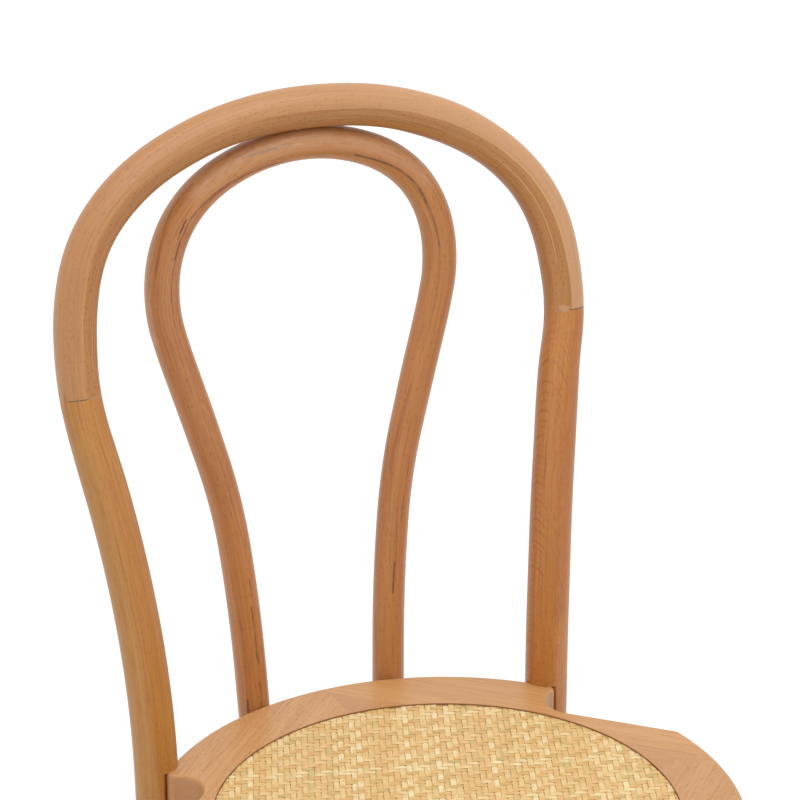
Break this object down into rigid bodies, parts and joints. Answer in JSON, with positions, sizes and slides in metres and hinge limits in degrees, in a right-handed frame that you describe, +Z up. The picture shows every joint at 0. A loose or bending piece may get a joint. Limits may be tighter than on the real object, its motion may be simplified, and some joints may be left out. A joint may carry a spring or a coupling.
{
  "type": "bentwood chair",
  "caption": "Bentwood dining chair with a laminated back arch finger-jointed to curved rear legs, an inner back loop, a round seat ring with a woven cane panel and a leg hoop.",
  "frame": {"origin": "on the floor, under the middle of the chair's overall box", "axes": "+Z up, +Y towards the chair's back, +X towards its right as seen from the front"},
  "size_m": [0.41, 0.4598, 0.9003],
  "materials": {
    "arch_beech": "laminated beech under a satin clear lacquer",
    "leg_beech": "solid beech under a satin clear lacquer",
    "loop_beech": "steam-bent beech under a satin clear lacquer",
    "ring_beech": "solid beech boards under a satin clear lacquer",
    "cane": "woven natural cane, uncoated",
    "plywood": "birch plywood, sanded",
    "dowel_beech": "fluted beech dowel, raw",
    "steel": "zinc-plated steel",
    "nylon": "moulded nylon"
  },
  "bodies": {
    "root": {"back_arch": "arch_beech", "rear_leg_left": "leg_beech", "rear_leg_right": "leg_beech", "front_leg_left": "leg_beech", "front_leg_right": "leg_beech", "inner_loop": "loop_beech", "leg_hoop": "loop_beech", "seat_ring_rear_right": "ring_beech", "seat_ring_rear_left": "ring_beech", "seat_ring_front_left": "ring_beech", "seat_ring_front_right": "ring_beech", "cane_panel": "cane", "seat_backing": "plywood", "ring_dowels": "dowel_beech", "leg_hoop_screws": "steel", "loop_end_screws": "steel", "crown_screw": "steel", "panel_screws": "steel", "rear_leg_bolts": "steel", "rear_leg_washers": "steel", "rear_leg_inserts": "steel", "foot_glides": "nylon"}
  },
  "joints": []
}
